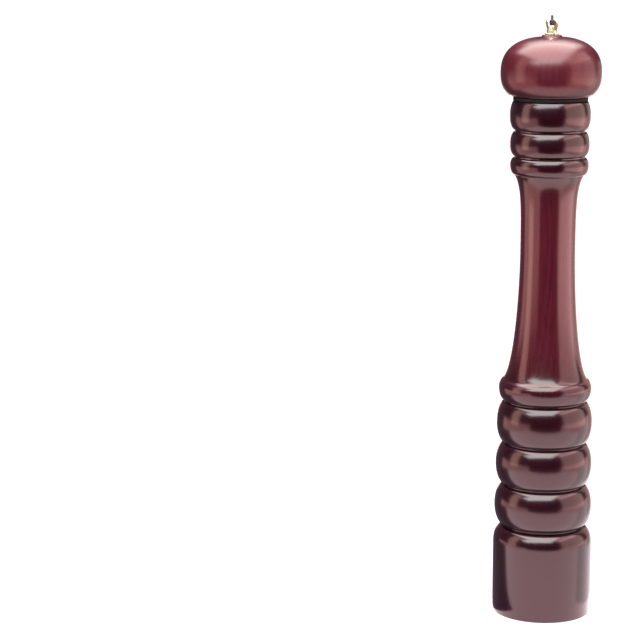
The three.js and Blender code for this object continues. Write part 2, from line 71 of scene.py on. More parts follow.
# the waist's two curves meet at WAIST, and every point is (radius, height)
WAIST = (19.2, 255.0)
COVE_BOTTOM = (30.4, 168.6)
COVE_BOTTOM_PULLS = ((24, 172), (19.8, 215))
COVE_TOP = (24, 312.9)
COVE_TOP_PULLS = ((19.1, 292), (19.2, 304))

BORE_RADIUS = 13.5
RECESS_RADIUS = 25.5
RECESS_DEPTH = 9.0
BURR_BORE_RADIUS = 18.2
BURR_BORE_TOP = 56.9

# the head is a squared-off oval, and the neck takes the place of its lowest part: its underside
# keeps only HEAD_UNDER_SHARE of HEAD_UNDER_REACH
HEAD_EQUATOR = 382.8
HEAD_CROWN = 408.2
HEAD_UNDER_REACH = 21.9
HEAD_UNDER_SHARE = 0.66
HEAD_NECK_RADIUS = 26.9
HEAD_NECK_TOP = 368.1
HEAD_BOSS_RADIUS = 6.8
HEAD_BORE_RADIUS = 4.8
HEAD_BORE_TOP = 402.0
DOME_FULLNESS = 2.5             # 2 would be an ellipse, and more is squarer
TENON_PLAY = 0.3                # between the head's tenon and the body's bore
THREAD_PLAY = 0.5               # between the thread and the head's upper bore

SHAFT_WIDTH = 6.0
SQUARE_TOP = 399.0
SQUARE_PLAY = 0.6               # between the square shaft and a square hole, both sides together
THREAD_RADIUS = 2.0
THREAD_TOP = 419.0
THREAD_PITCH = 0.7
THREAD_DEPTH = 0.38
JOURNAL_RADIUS = 2.5
CLIP_GROOVE = (1.9, 2.7, 1.4)   # radius, drop below the square, height
PILOT_RADIUS = 0.85

# the wing nut: its hub as (radius, height), and a wing as (outwards, upwards)
NUT_HUB = ((2.2, 0), (3.3, 0), (3.5, 0.2), (3.5, 1.0), (3.0, 4.4), (2.8, 4.8), (2.5, 5.0),
           (2.2, 5.0))
WING_UNDER_EDGE = ((2.4, 0.5), (5.4, 0.9), (8.2, 5.3))
WING_UPPER_EDGE = ((4.9, 7.2), (4.5, 4.4), (2.4, 4.2))
WING_TIP = (6.7, 6.7)
WING_TIP_RADIUS = 1.9
WING_THICKNESS = 1.5
NUT_ANGLE = -70                 # degrees that the nut is turned, as in the photograph
NUT_VOXEL = 0.14                # size of the cells in which its wings and hub are melted together

# a slotted screw with a pan head, which is (share of the radius, height above its crown)
PAN_HEAD = ((0.45, 0.02), (0.7, 0.14), (0.88, 0.38), (0.97, 0.72), (1.0, 1.05))
DRIVE_SCREW_HEAD = 1.3          # height of the head
DRIVE_SCREW_SHANK = 1.0
BAR_SCREW_HEAD = 1.5
BAR_SCREW_SHANK = 1.3
SCREW_PITCH = 1.1
SCREW_THREAD_DEPTH = 0.28
SCREW_SLOT_WIDTH = 0.6
SCREW_SLOT_DEPTH = 0.75
DRIVE_SCREW_X = 8.2
DRIVE_SCREW_HOLE = 1.3
BAR_SCREW_X = 21.2
BAR_SCREW_HOLE = 1.6

CONE_TEETH = 12
CONE_TWIST = 3.2                # degrees of turn in the teeth, for each millimetre of height
CONE_FOOT_RADIUS = 12.9
CONE_CROWN = ((10.6, 24), (8.8, 28))
CONE_TOP_RADIUS = 7.9
RING_TEETH = 18
RING_TWIST = -1.6
GRIND_SLOPE = 0.23
GRIND_TOP = 20.0
GRIND_GAP = 0.5
FINE_TOOTH = 0.5                # depth of the cone's teeth below FINE_TOP
COARSE_TOOTH = 1.8              # and above COARSE_BOTTOM
FINE_TOP = 15
COARSE_BOTTOM = 26
ROW_STEP = 0.5                  # between the rows of a burr's mesh
TOOTH_SHARP = 28                # degrees, as SHARP

CASE_WALL = 1.0
STOP_RADIUS = 15.6              # the ridge in the case, above the ring burr
GUIDE_HOLE = 4.8
WIRE_RADIUS = 0.6
SPRING_TURNS = 5
CLOSED_TURNS = 0.6
CLIP_INNER = 2.2


# ---- mesh tools -----------------------------------------------------------------------------


def span(node):
    """Radius, bottom and top of a round CAD node, in millimetres."""
    low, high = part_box(node)
    return high.x / MM, low.z / MM, high.z / MM


def link(name, mesh):
    """A new object in metres from a mesh in millimetres."""
    mesh.transform(Matrix.Scale(MM, 4))
    piece = bpy.data.objects.new(name, mesh)
    bpy.context.scene.collection.objects.link(piece)
    return piece


def shade(mesh, sharp_degrees):
    """Smooth shading between the sharp edges."""
    mesh.shade_smooth()
    mesh.set_sharp_from_angle(angle=math.radians(sharp_degrees))


def clean(mesh, sharp_degrees):
    """Welds a mesh, turns its faces outwards and shades it."""
    work = bmesh.new()
    work.from_mesh(mesh)
    bmesh.ops.remove_doubles(work, verts=work.verts, dist=WELD)
    bmesh.ops.recalc_face_normals(work, faces=work.faces)
    work.to_mesh(mesh)
    work.free()
    shade(mesh, sharp_degrees)


def turned_mesh(name, profile, sides, shape):
    """A profile of (radius, height) turned about +Z. It starts and ends on the axis, or closes on
    itself. shape(radius, height, angle) gives the radius and angle that a point really has."""
    mesh = bpy.data.meshes.new(name)
    points, rings = [], []
    for radius, height in profile:
        if radius == 0:
            rings.append([len(points)])
            points.append((0, 0, height))
            continue
        rings.append(list(range(len(points), len(points) + sides)))
        for side in range(sides):
            angle = CIRCLE * side / sides
            r, a = shape(radius, height, angle) if shape else (radius, angle)
            points.append((r * math.cos(a), r * math.sin(a), height))
    pairs = list(zip(rings, rings[1:]))
    if len(rings[0]) > 1:
        pairs.append((rings[-1], rings[0]))
    faces = []
    for low, high in pairs:
        for side in range(sides):
            after = (side + 1) % sides
            corners = [low[side % len(low)], low[after % len(low)],
                       high[after % len(high)], high[side % len(high)]]
            faces.append(list(dict.fromkeys(corners)))
    mesh.from_pydata(points, [], faces)
    return mesh


def turned(name, profile, sides=ROUND_SIDES, shape=None, sharp_degrees=SHARP):
    """A piece turned from a profile in millimetres, as turned_mesh says."""
    mesh = turned_mesh(name, profile, sides, shape)
    clean(mesh, sharp_degrees)
    return link(name, mesh)


def ring_profile(inner, outer, bottom, top, edge=0.12):
    """The section of a flat ring with small chamfers."""
    return [
        (inner + edge, bottom), (outer - edge, bottom), (outer, bottom + edge),
        (outer, top - edge), (outer - edge, top), (inner + edge, top),
        (inner, top - edge), (inner, bottom + edge),
    ]


def arc(radius, start, end, steps, x=0.0):
    """Points round a centre at (x, 0), with both ends. The angles are in radians."""
    angles = [start + (end - start) * step / steps for step in range(steps + 1)]
    return [(x + radius * math.cos(a), radius * math.sin(a)) for a in angles]


def circle(radius, steps=48, x=0.0):
    return arc(radius, 0, CIRCLE, steps, x)[:-1]


def square(width):
    half = width / 2
    return [(half, half), (-half, half), (-half, -half), (half, -half)]


def stamped(name, outlines, bottom, top, edge=0.12):
    """A flat plate with softened edges. The first outline is its rim, and the others are holes."""
    curve = bpy.data.curves.new(name, "CURVE")
    curve.dimensions = "2D"
    curve.fill_mode = "BOTH"
    curve.extrude = (top - bottom) / 2 - edge
    curve.bevel_depth = edge
    curve.bevel_resolution = 1
    curve.offset = -edge
    for outline in outlines:
        spline = curve.splines.new("POLY")
        spline.points.add(len(outline) - 1)
        for point, (x, y) in zip(spline.points, outline):
            point.co = (x, y, 0, 1)
        spline.use_cyclic_u = True
    flat = bpy.data.objects.new(name + "_outline", curve)
    bpy.context.scene.collection.objects.link(flat)
    bpy.context.view_layer.update()
    graph = bpy.context.evaluated_depsgraph_get()
    mesh = bpy.data.meshes.new_from_object(flat.evaluated_get(graph))
    bpy.data.objects.remove(flat)
    mesh.name = name
    mesh.transform(Matrix.Translation((0, 0, (bottom + top) / 2)))
    clean(mesh, SHARP)
    return link(name, mesh)


def block(name, size, centre):
    """A box in millimetres."""
    work = bmesh.new()
    bmesh.ops.create_cube(work, size=1)
    bmesh.ops.scale(work, vec=size, verts=work.verts)
    bmesh.ops.translate(work, vec=centre, verts=work.verts)
    mesh = bpy.data.meshes.new(name)
    work.to_mesh(mesh)
    work.free()
    return link(name, mesh)


def baked(piece):
    """Applies a piece's modifiers to its mesh."""
    graph = bpy.context.evaluated_depsgraph_get()
    mesh = bpy.data.meshes.new_from_object(piece.evaluated_get(graph))
    piece.modifiers.clear()
    piece.data = mesh


def cut(piece, tool, operation="DIFFERENCE"):
    """Cuts one piece with another, or joins them, and removes the tool."""
    change = piece.modifiers.new("cut", "BOOLEAN")
    change.object = tool
    change.operation = operation
    change.solver = "EXACT"
    bpy.context.view_layer.update()
    baked(piece)
    bpy.data.objects.remove(tool)


def soften(piece, width):
    """Small rounded edges, in millimetres, all over a piece."""
    bevel = piece.modifiers.new("edges", "BEVEL")
    bevel.width = width * MM
    bevel.segments = 2
    bevel.limit_method = "ANGLE"
    bevel.angle_limit = math.radians(SHARP)
    bpy.context.view_layer.update()
    baked(piece)


def install(piece, node, body, material):
    """Puts a finished piece in the place of a CAD node."""
    piece.data.materials.clear()
    piece.data.materials.append(material)
    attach(piece, body)
    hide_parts(node)


# ---- curves ---------------------------------------------------------------------------------


def roundness(fraction, fullness):
    """The width of a rounded shape at a share of its height from its widest level."""
    return max(0.0, 1 - abs(fraction) ** fullness) ** (1 / fullness)


def bead(bottom, widest, top, crown, groove, steps):
    """A bead from its bottom to its top: two quarters of an ellipse."""
    points = []
    for step in range(steps + 1):
        across = -math.cos(math.pi * step / steps)
        reach = widest - bottom if across < 0 else top - widest
        radius = groove + (crown - groove) * roundness(across, 2)
        points.append((radius, widest + across * reach))
    return points


def cove(start, pull, ease, end, steps):
    """A cubic curve through its two ends."""
    points = []
    for step in range(steps + 1):
        t = step / steps
        weights = ((1 - t) ** 3, 3 * t * (1 - t) ** 2, 3 * t * t * (1 - t), t ** 3)
        points.append(tuple(
            sum(w * p[axis] for w, p in zip(weights, (start, pull, ease, end)))
            for axis in (0, 1)
        ))
    return points


def sweep(start, pull, end, steps):
    """A quadratic curve, without its two ends."""
    points = []
    for step in range(1, steps):
        t = step / steps
        points.append(tuple(
            (1 - t) ** 2 * a + 2 * t * (1 - t) * b + t * t * c
            for a, b, c in zip(start, pull, end)
        ))
    return points


# ---- materials ------------------------------------------------------------------------------

# stained wood, before it is scaled by a piece's depth
EARLY_WOOD = (0.145, 0.015, 0.028)
LATE_WOOD = (0.078, 0.005, 0.015)
DEEP_STAIN = (0.064, 0.004, 0.013)
PORE = (0.022, 0.002, 0.005)
# the next two: painted shade for the hollows of the turning, and wear on its crests
HOLLOW_SHADE = (0.02, 0.001, 0.004)
CREST = (0.190, 0.03, 0.036)

BEAD_SHADE = (0.22, 0.1, 0.34)          # painted shade: what the stain's colour is multiplied by over the beads
BARE_EARLY_WOOD = (0.56, 0.37, 0.20)
BARE_LATE_WOOD = (0.40, 0.24, 0.12)
HEART = (0.052, -0.031, 0)             # where the tree's heart was, from the mill's axis
RINGS_PER_METRE = 290


class Paint:
    """A new material with one Principled shader, and short ways to add nodes to it."""

    def __init__(self, name, **constants):
        self.material = bpy.data.materials.new(name)
        self.material.use_nodes = True
        self.tree = self.material.node_tree
        self.shader = self.tree.nodes["Principled BSDF"]
        for socket, value in constants.items():
            self.shader.inputs[socket.replace("_", " ")].default_value = value
        self.place = self.add("ShaderNodeTexCoord").outputs["Object"]

    def add(self, kind, **values):
        node = self.tree.nodes.new(kind)
        for name, value in values.items():
            setattr(node, name, value)
        return node

    def join(self, source, target):
        self.tree.links.new(source, target)

    def stretched(self, scale, location=(0, 0, 0)):
        """The place on the piece, scaled along each axis and then shifted."""
        node = self.add("ShaderNodeMapping")
        node.inputs["Scale"].default_value = scale
        node.inputs["Location"].default_value = location
        self.join(self.place, node.inputs["Vector"])
        return node.outputs["Vector"]

    def noise(self, scale, detail=3.0, location=(0, 0, 0)):
        """Noise with a scale for each axis, in features per metre."""
        node = self.add("ShaderNodeTexNoise")
        node.inputs["Scale"].default_value = 1
        node.inputs["Detail"].default_value = detail
        node.inputs["Roughness"].default_value = 0.55
        self.join(self.stretched(scale, location), node.inputs["Vector"])
        return node.outputs["Fac"]

    def ranged(self, source, low, high, out_low=0.0, out_high=1.0):
        """A value between low and high, brought to between out_low and out_high."""
        node = self.add("ShaderNodeMapRange")
        for name, value in (("From Min", low), ("From Max", high),
                            ("To Min", out_low), ("To Max", out_high)):
            node.inputs[name].default_value = value
        self.join(source, node.inputs["Value"])
        return node.outputs["Result"]

    def maths(self, operation, first, second=None):
        node = self.add("ShaderNodeMath", operation=operation)
        for index, value in enumerate((first, second)):
            if isinstance(value, (int, float)):
                node.inputs[index].default_value = value
            elif value is not None:
                self.join(value, node.inputs[index])
        return node.outputs["Value"]

    def stored(self, name):
        """A value that note_relief keeps on the mesh."""
        return self.add("ShaderNodeAttribute", attribute_name=name).outputs["Fac"]

    def mixed(self, factor, first, second, blend="MIX"):
        node = self.add("ShaderNodeMix", data_type="RGBA", blend_type=blend)
        slots = [s for s in node.inputs if s.type == "RGBA"]
        if isinstance(factor, (int, float)):
            node.inputs["Factor"].default_value = factor
        else:
            self.join(factor, node.inputs["Factor"])
        for slot, value in zip(slots, (first, second)):
            if isinstance(value, tuple):
                slot.default_value = (*value, 1)
            else:
                self.join(value, slot)
        return next(s for s in node.outputs if s.type == "RGBA")

    def multiplied(self, first, second):
        return self.mixed(1.0, first, second, "MULTIPLY")

    def bump(self, height, distance, strength=1.0, into="Normal"):
        """Relief with a depth in metres."""
        node = self.add("ShaderNodeBump")
        node.inputs["Distance"].default_value = distance
        node.inputs["Strength"].default_value = strength
        self.join(height, node.inputs["Height"])
        self.join(node.outputs["Normal"], self.shader.inputs[into])

    def use(self, source, socket):
        self.join(source, self.shader.inputs[socket])


def wood_paint(name, shift, depth, satin, gloss, sheen, beads=None):
    """Close-grained hardwood under a satin-gloss red-brown lacquer.

    shift moves the pattern, depth scales the stain's lightness, satin is the lacquer's roughness,
    gloss its strength and sheen the colour of the reflection from under it. Where beads is given,
    the wood is painted darker over the beads, as painted shade: it fades out over the first pair
    of heights and in over the second, in metres.
    """
    paint = Paint(name, Roughness=satin + 0.04, Specular_IOR_Level=0.38, Coat_Weight=gloss,
                  Coat_Roughness=satin, Coat_IOR=1.5, Specular_Tint=(*sheen, 1.0))
    warp = paint.noise((14, 14, 5), location=shift)
    across = paint.add("ShaderNodeVectorMath", operation="LENGTH")
    paint.join(paint.stretched((1, 1, 0.03), HEART), across.inputs[0])
    bent = paint.maths("ADD", across.outputs["Value"], paint.maths("MULTIPLY", warp, 0.016))
    rings = paint.maths("FRACT", paint.maths("MULTIPLY", bent, RINGS_PER_METRE))
    late_wood = paint.ranged(rings, 0.25, 0.95)
    fibres = paint.noise((1100, 1100, 26), detail=4.0, location=shift)
    pores = paint.ranged(paint.noise((2300, 2300, 260), detail=2.0), 0.62, 0.72)
    stain = paint.ranged(paint.noise((34, 34, 16), location=shift), 0.3, 0.7)
    grain = paint.maths("ADD", paint.maths("MULTIPLY", late_wood, 0.35),
                        paint.maths("MULTIPLY", paint.ranged(fibres, 0.3, 0.7), 0.65))

    def deep(colour):
        return tuple(depth * value for value in colour)

    colour = paint.mixed(grain, deep(EARLY_WOOD), deep(LATE_WOOD))
    # stain and pores are the wood's own; hollow lays painted shade into the grooves and coves, and
    # crest is wear
    for mask, strength, tone in ((stain, 0.5, DEEP_STAIN), (pores, 0.55, PORE),
                                 (paint.stored("hollow"), 0.5, HOLLOW_SHADE),
                                 (paint.stored("crest"), 0.25, CREST)):
        colour = paint.mixed(paint.maths("MULTIPLY", mask, strength), colour, deep(tone))
    # painted shade: the wood is darker over the beads of the foot and of the collar
    if beads:
        height = paint.add("ShaderNodeSeparateXYZ")
        paint.join(paint.place, height.inputs[0])
        low, high = beads
        at_foot = paint.ranged(height.outputs["Z"], *low, 1, 0)
        at_collar = paint.ranged(height.outputs["Z"], *high)
        bead_shade_share = paint.maths("MAXIMUM", at_foot, at_collar)
        colour = paint.multiplied(colour, paint.mixed(bead_shade_share, (1, 1, 1), BEAD_SHADE))
    pale = paint.mixed(grain, BARE_EARLY_WOOD, BARE_LATE_WOOD)
    paint.use(paint.mixed(paint.stored("bare"), colour, pale), "Base Color")
    relief = paint.maths("SUBTRACT", paint.maths("MULTIPLY", fibres, 0.5), pores)
    paint.bump(relief, distance=0.000009)
    skin = paint.noise((420, 420, 300), detail=2.0)
    paint.bump(skin, distance=0.000004, into="Coat Normal")
    return paint.material


def metal_paint(name, light, dark, roughness, grain):
    """Bare metal with fine tool marks and uneven tarnish. grain is the scale of the marks."""
    paint = Paint(name, Metallic=1.0, Roughness=roughness)
    tarnish = paint.ranged(paint.noise((260, 260, 260)), 0.35, 0.7)
    marks = paint.noise(grain)
    paint.use(paint.mixed(tarnish, light, dark), "Base Color")
    worn = paint.ranged(marks, 0.3, 0.7, roughness * 0.75, roughness * 1.3)
    paint.use(worn, "Roughness")
    paint.bump(marks, distance=0.00001, strength=0.5)
    return paint.material


def fibre_and_gap_shade_paint():
    """Black pressed fibre for the ring in the joint, whose black also paints the shade of the gap
    between head and body.
    """
    paint = Paint("black_fibre", Roughness=0.55, Specular_IOR_Level=0.14)
    speck = paint.noise((1600, 1600, 900), detail=4.0)
    black = paint.mixed(paint.ranged(speck, 0.35, 0.7), (0.008, 0.006, 0.006),
                        (0.03, 0.024, 0.023))
    paint.use(black, "Base Color")
    paint.bump(speck, distance=0.00004)
    return paint.material


body_wood = wood_paint("body_wood", shift=(0, 0, 0), depth=0.85, satin=0.19, gloss=1.0,
                       sheen=(1.0, 0.55, 0.5), beads=((0.155, 0.19), (0.295, 0.32)))
head_wood = wood_paint("head_wood", shift=(0.31, 0.17, 0.44), depth=0.95, satin=0.26, gloss=0.7,
                       sheen=(1.0, 0.42, 0.32))
brass = metal_paint("brass", light=(0.80, 0.78, 0.56), dark=(0.57, 0.52, 0.33), roughness=0.36,
                    grain=(900, 900, 2600))
# a dark steel, made darker still to paint the shade on the tip of the shaft above the nut
dark_steel = metal_paint("dark_steel", light=(0.085, 0.072, 0.078), dark=(0.035, 0.03, 0.034),
                         roughness=0.42, grain=(2200, 2200, 200))
plate_steel = metal_paint("plate_steel", light=(0.62, 0.62, 0.63), dark=(0.42, 0.41, 0.41),
                          roughness=0.3, grain=(2600, 300, 2600))
burr_steel = metal_paint("burr_steel", light=(0.34, 0.33, 0.32), dark=(0.17, 0.16, 0.155),
                         roughness=0.42, grain=(1500, 1500, 1500))
black_fibre = fibre_and_gap_shade_paint()


# ---- wooden pieces --------------------------------------------------------------------------


def foot_outline(radius):
    """The foot from its rounded lower edge to the groove above its shoulder."""
    edge_steps, shoulder_steps = 4, 24
    edge = []
    for step in range(edge_steps + 1):
        angle = math.pi / 2 * step / edge_steps
        edge.append((radius - FOOT_EDGE * (1 - math.sin(angle)),
                     FOOT_EDGE * (1 - math.cos(angle))))
    shoulder = []
    for step in range(shoulder_steps + 1):
        rise = math.sin(math.pi / 2 * step / shoulder_steps)
        shoulder.append((GROOVE_RADIUS + (radius - GROOVE_RADIUS) * roundness(rise, 2),
                         FOOT_WALL_TOP + rise * (FOOT_TOP - FOOT_WALL_TOP)))
    return edge + shoulder


def body_outline(radius, top):
    """The body's outside: foot, large beads, shoulder, waist, collar and rim."""
    shoulder = bead(*SHOULDER_BEAD, GROOVE_RADIUS, 40)
    collar = [p for one in COLLAR_BEADS for p in bead(*one, COLLAR_GROOVE_RADIUS, 32)]
    return [
        *foot_outline(radius),
        *(p for one in LARGE_BEADS for p in bead(*one, GROOVE_RADIUS, 40)),
        *(p for p in shoulder if p[1] < COVE_BOTTOM[1]),
        *cove(COVE_BOTTOM, *COVE_BOTTOM_PULLS, WAIST, 48),
        *cove(WAIST, *COVE_TOP_PULLS, COVE_TOP, 40)[1:],
        *(p for p in collar if p[1] < top),
        (COLLAR_RIM_RADIUS, top - 0.05),
        (COLLAR_RIM_RADIUS - 0.3, top),
    ]


def head_outline(radius):
    """The head from the outside of its neck up to just short of its crown."""
    under_steps, dome_steps = 24, 44
    steps_to_crown = dome_steps + 0.7
    under = [HEAD_UNDER_SHARE * (1 - step / under_steps) for step in range(under_steps + 1)]
    dome = [math.sin(math.pi / 2 * step / steps_to_crown) for step in range(1, dome_steps + 1)]
    return [
        *((radius * roundness(u, DOME_FULLNESS), HEAD_EQUATOR - u * HEAD_UNDER_REACH)
          for u in under),
        *((radius * roundness(u, DOME_FULLNESS), HEAD_EQUATOR + u * (HEAD_CROWN - HEAD_EQUATOR))
          for u in dome),
    ]


def note_relief(piece, outline, is_bare):
    """Stores where a turned surface is hollow and where it is proud, for painted shade in the
    hollows and wear on the crests, and where is_bare(radius, height) says that the wood is left
    unstained."""
    reach = 5.0         # how far up and down a point is compared with its neighbours
    full = 1.6          # how proud or how hollow counts in full
    proud = {}
    for radius, height in outline:
        near = [r for r, z in outline if abs(z - height) < reach]
        proud[round(height, 3)] = radius - sum(near) / len(near)
    mesh = piece.data
    hollow, crest, bare = (mesh.attributes.new(name, "FLOAT", "POINT")
                           for name in ("hollow", "crest", "bare"))
    for vertex in mesh.vertices:
        x, y, z = vertex.co / MM
        lift = proud.get(round(z, 3), 0.0)
        hollow.data[vertex.index].value = min(1.0, max(0.0, -lift / full))
        crest.data[vertex.index].value = min(1.0, max(0.0, lift / full))
        bare.data[vertex.index].value = float(is_bare(math.hypot(x, y), z))


def make_body():
    radius, _, top = span("body")
    outline = body_outline(radius, top)
    bores = [
        (BORE_RADIUS + 0.4, top), (BORE_RADIUS, top - 0.4), (BORE_RADIUS, BURR_BORE_TOP),
        (BURR_BORE_RADIUS, BURR_BORE_TOP), (BURR_BORE_RADIUS, RECESS_DEPTH),
        (RECESS_RADIUS, RECESS_DEPTH), (RECESS_RADIUS, 0.5), (RECESS_RADIUS + 0.5, 0),
    ]
    piece = turned("mill_body", outline + bores, TURNED_SIDES)
    note_relief(piece, outline, lambda r, z: r < BURR_BORE_RADIUS + 0.1 and z < top)
    install(piece, "body", "base", body_wood)


def make_head():
    radius, bottom, top = span("head")
    neck = span("turn_washer")[2] + 0.3
    tenon = BORE_RADIUS - TENON_PLAY
    thread_hole = THREAD_RADIUS + THREAD_PLAY
    outline = head_outline(radius)
    profile = [
        (HEAD_BORE_RADIUS, bottom), (tenon - 0.5, bottom), (tenon, bottom + 0.5),
        (tenon, neck), (HEAD_NECK_RADIUS - 0.8, neck),
        (HEAD_NECK_RADIUS - 0.2, neck + 0.15), (HEAD_NECK_RADIUS, neck + 0.4),
        (HEAD_NECK_RADIUS + 0.3, HEAD_NECK_TOP - 0.4), (HEAD_NECK_RADIUS + 0.7, HEAD_NECK_TOP),
        *(p for p in outline if p[0] > HEAD_BOSS_RADIUS + 0.6),
        (HEAD_BOSS_RADIUS + 0.3, HEAD_CROWN - 0.25), (HEAD_BOSS_RADIUS, top - 0.3),
        (HEAD_BOSS_RADIUS - 0.4, top), (thread_hole, top),
        (thread_hole, HEAD_BORE_TOP), (HEAD_BORE_RADIUS, HEAD_BORE_TOP),
    ]
    piece = turned("mill_head", profile, TURNED_SIDES)
    note_relief(piece, outline, lambda r, z: r < BORE_RADIUS and z < HEAD_NECK_TOP)
    install(piece, "head", "top", head_wood)


def make_turn_washer():
    radius, bottom, top = span("turn_washer")
    # a guessed black fibre ring; its black also paints the shade in the gap under the head
    piece = turned("turning_ring", ring_profile(BORE_RADIUS + 0.1, radius, bottom, top, 0.3),
                   TURNED_SIDES)
    install(piece, "turn_washer", "turning_ring", black_fibre)


# ---- shaft and nut --------------------------------------------------------------------------


def thread(pitch, depth):
    """A right-hand V thread cut into a shape that is turned at its outer radius."""
    def shape(radius, height, angle):
        phase = (height / pitch - angle / CIRCLE) % 1
        return radius - depth * abs(2 * phase - 1), angle
    return shape


def threaded_rod(name, bottom, top):
    """The shaft's thread, which is shallower at its two ends."""
    rows = int((top - bottom) / THREAD_PITCH * 8)
    cut_shape = thread(THREAD_PITCH, THREAD_DEPTH)

    def shape(radius, height, angle):
        fade = min(1.0, (top - height) / THREAD_PITCH, (height - bottom) / THREAD_PITCH)
        cut_radius, angle = cut_shape(radius, height, angle)
        return radius - (radius - cut_radius) * (0.35 + 0.65 * fade), angle

    heights = [bottom + (top - bottom) * row / rows for row in range(rows + 1)]
    profile = [(0, bottom), *((THREAD_RADIUS, z) for z in heights), (0, top)]
    return turned(name, profile, THREAD_SIDES, shape, sharp_degrees=70)


def make_shaft():
    _, bottom, top = span("drive_shaft")
    _, square_bottom, _ = span("cone_burr")
    overlap = 0.5
    shaft = block("drive_rod", (SHAFT_WIDTH, SHAFT_WIDTH, SQUARE_TOP - square_bottom),
                  (0, 0, (SQUARE_TOP + square_bottom) / 2))
    soften(shaft, 0.35)
    groove_radius, groove_drop, groove_height = CLIP_GROOVE
    groove = square_bottom - groove_drop
    journal = turned("journal", [
        (0, bottom), (JOURNAL_RADIUS - 0.5, bottom), (JOURNAL_RADIUS, bottom + 0.5),
        (JOURNAL_RADIUS, groove), (groove_radius, groove), (groove_radius, groove + groove_height),
        (JOURNAL_RADIUS, groove + groove_height),
        (JOURNAL_RADIUS, square_bottom + 1), (0, square_bottom + 1),
    ], PIN_SIDES)
    rod = threaded_rod("rod", SQUARE_TOP - overlap, THREAD_TOP)
    pilot = turned("pilot", [
        (0, THREAD_TOP - overlap), (PILOT_RADIUS + 0.5, THREAD_TOP - overlap),
        (PILOT_RADIUS, THREAD_TOP + 0.3), (PILOT_RADIUS, top - 0.5),
        (PILOT_RADIUS - 0.15, top - 0.2), (PILOT_RADIUS - 0.5, top), (0, top),
    ], THREAD_SIDES)
    for section in (journal, rod, pilot):
        cut(shaft, section, "UNION")
    shade(shaft.data, JOINED_SHARP)
    # the shaft's very dark steel also paints the shade on its tip
    install(shaft, "drive_shaft", "rotor", dark_steel)


def wing_outline():
    """A wing from the hub out along its lower edge, round its tip and back along its upper edge."""
    x, z = WING_TIP
    tip = arc(WING_TIP_RADIUS, -0.5, math.pi - 0.4, 14, x)
    return [
        WING_UNDER_EDGE[0],
        *sweep(*WING_UNDER_EDGE, 8),
        *((px, z + pz) for px, pz in tip),
        *sweep(*WING_UPPER_EDGE, 8),
    ]


def make_wing_nut():
    """The wings and the hub are melted together and smoothed, as in a casting."""
    _, bottom, _ = span("wing_nut")
    hub = turned("wing_nut_body", NUT_HUB, sides=96)
    half = WING_THICKNESS / 2
    for turn in (0, math.pi):
        wing = stamped("wing", [wing_outline()], -half, half, edge=0.3)
        stand = Matrix.Rotation(turn, 4, "Z") @ Matrix.Rotation(math.pi / 2, 4, "X")
        wing.data.transform(stand)
        cut(hub, wing, "UNION")
    remesh = hub.modifiers.new("cast", "REMESH")
    remesh.mode = "VOXEL"
    remesh.voxel_size = NUT_VOXEL * MM
    smooth = hub.modifiers.new("fillets", "SMOOTH")
    smooth.iterations = 8
    bpy.context.view_layer.update()
    baked(hub)
    hub.data.transform(Matrix.Rotation(math.radians(NUT_ANGLE), 4, "Z"))
    hub.data.transform(Matrix.Translation((0, 0, bottom * MM)))
    hub.data.shade_smooth()
    install(hub, "wing_nut", "nut", brass)


def make_nut_washer():
    radius, bottom, top = span("nut_washer")
    piece = turned("nut_washer_ring", ring_profile(THREAD_RADIUS + 0.3, radius, bottom, top, 0.2))
    install(piece, "nut_washer", "nut_seat", brass)


# ---- head drive -----------------------------------------------------------------------------


def slotted_screw(name, node, body, head_height, shank):
    """A pan-head wood screw pointing up, with a slot across its head."""
    low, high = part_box(node)
    x, bottom, top = (low.x + high.x) / 2 / MM, low.z / MM, high.z / MM
    head_radius = (high.x - low.x) / 2 / MM
    seat = bottom + head_height
    plain = 1.2             # length without a thread, under the head
    point = 3.0             # length over which the thread narrows
    slot_angle = 25 if x > 0 else -50
    piece = turned(name, [
        (0, bottom), *((head_radius * share, bottom + up) for share, up in PAN_HEAD),
        (head_radius, seat - 0.1), (head_radius - 0.1, seat),
        (shank, seat), (shank, seat + plain), (0, seat + plain),
    ], PIN_SIDES)
    rows = int((top - seat) / 0.14)
    helix = thread(SCREW_PITCH, SCREW_THREAD_DEPTH)

    def shape(radius, height, angle):
        cut_radius, angle = helix(radius, height, angle)
        share = min(1.0, (top - 0.2 - height) / point)
        return max(0.05, cut_radius * max(0.12, share)), angle

    heights = [seat + 1 + (top - seat - plain) * row / rows for row in range(rows + 1)]
    profile = [(0, heights[0]), *((shank, z) for z in heights), (0, heights[-1])]
    helix_piece = turned(name + "_thread", profile, 32, shape, sharp_degrees=70)
    cut(piece, helix_piece, "UNION")
    slot = block(name + "_slot", (head_radius * 3, SCREW_SLOT_WIDTH, 2 * SCREW_SLOT_DEPTH),
                 (0, 0, bottom))
    slot.data.transform(Matrix.Rotation(math.radians(slot_angle), 4, "Z"))
    cut(piece, slot)
    piece.data.transform(Matrix.Translation((x * MM, 0, 0)))
    shade(piece.data, JOINED_SHARP)
    install(piece, node, body, plate_steel)


def make_drive_plate():
    radius, bottom, top = span("drive_plate")
    piece = stamped("drive_plate_disc", [
        circle(radius, steps=96), square(SHAFT_WIDTH + SQUARE_PLAY),
        circle(DRIVE_SCREW_HOLE, 32, DRIVE_SCREW_X), circle(DRIVE_SCREW_HOLE, 32, -DRIVE_SCREW_X),
    ], bottom, top)
    install(piece, "drive_plate", "top", plate_steel)
    for side in ("left", "right"):
        slotted_screw("drive_screw_" + side, "drive_plate_screw_" + side, "top",
                      DRIVE_SCREW_HEAD, DRIVE_SCREW_SHANK)


# ---- burrs ----------------------------------------------------------------------------------


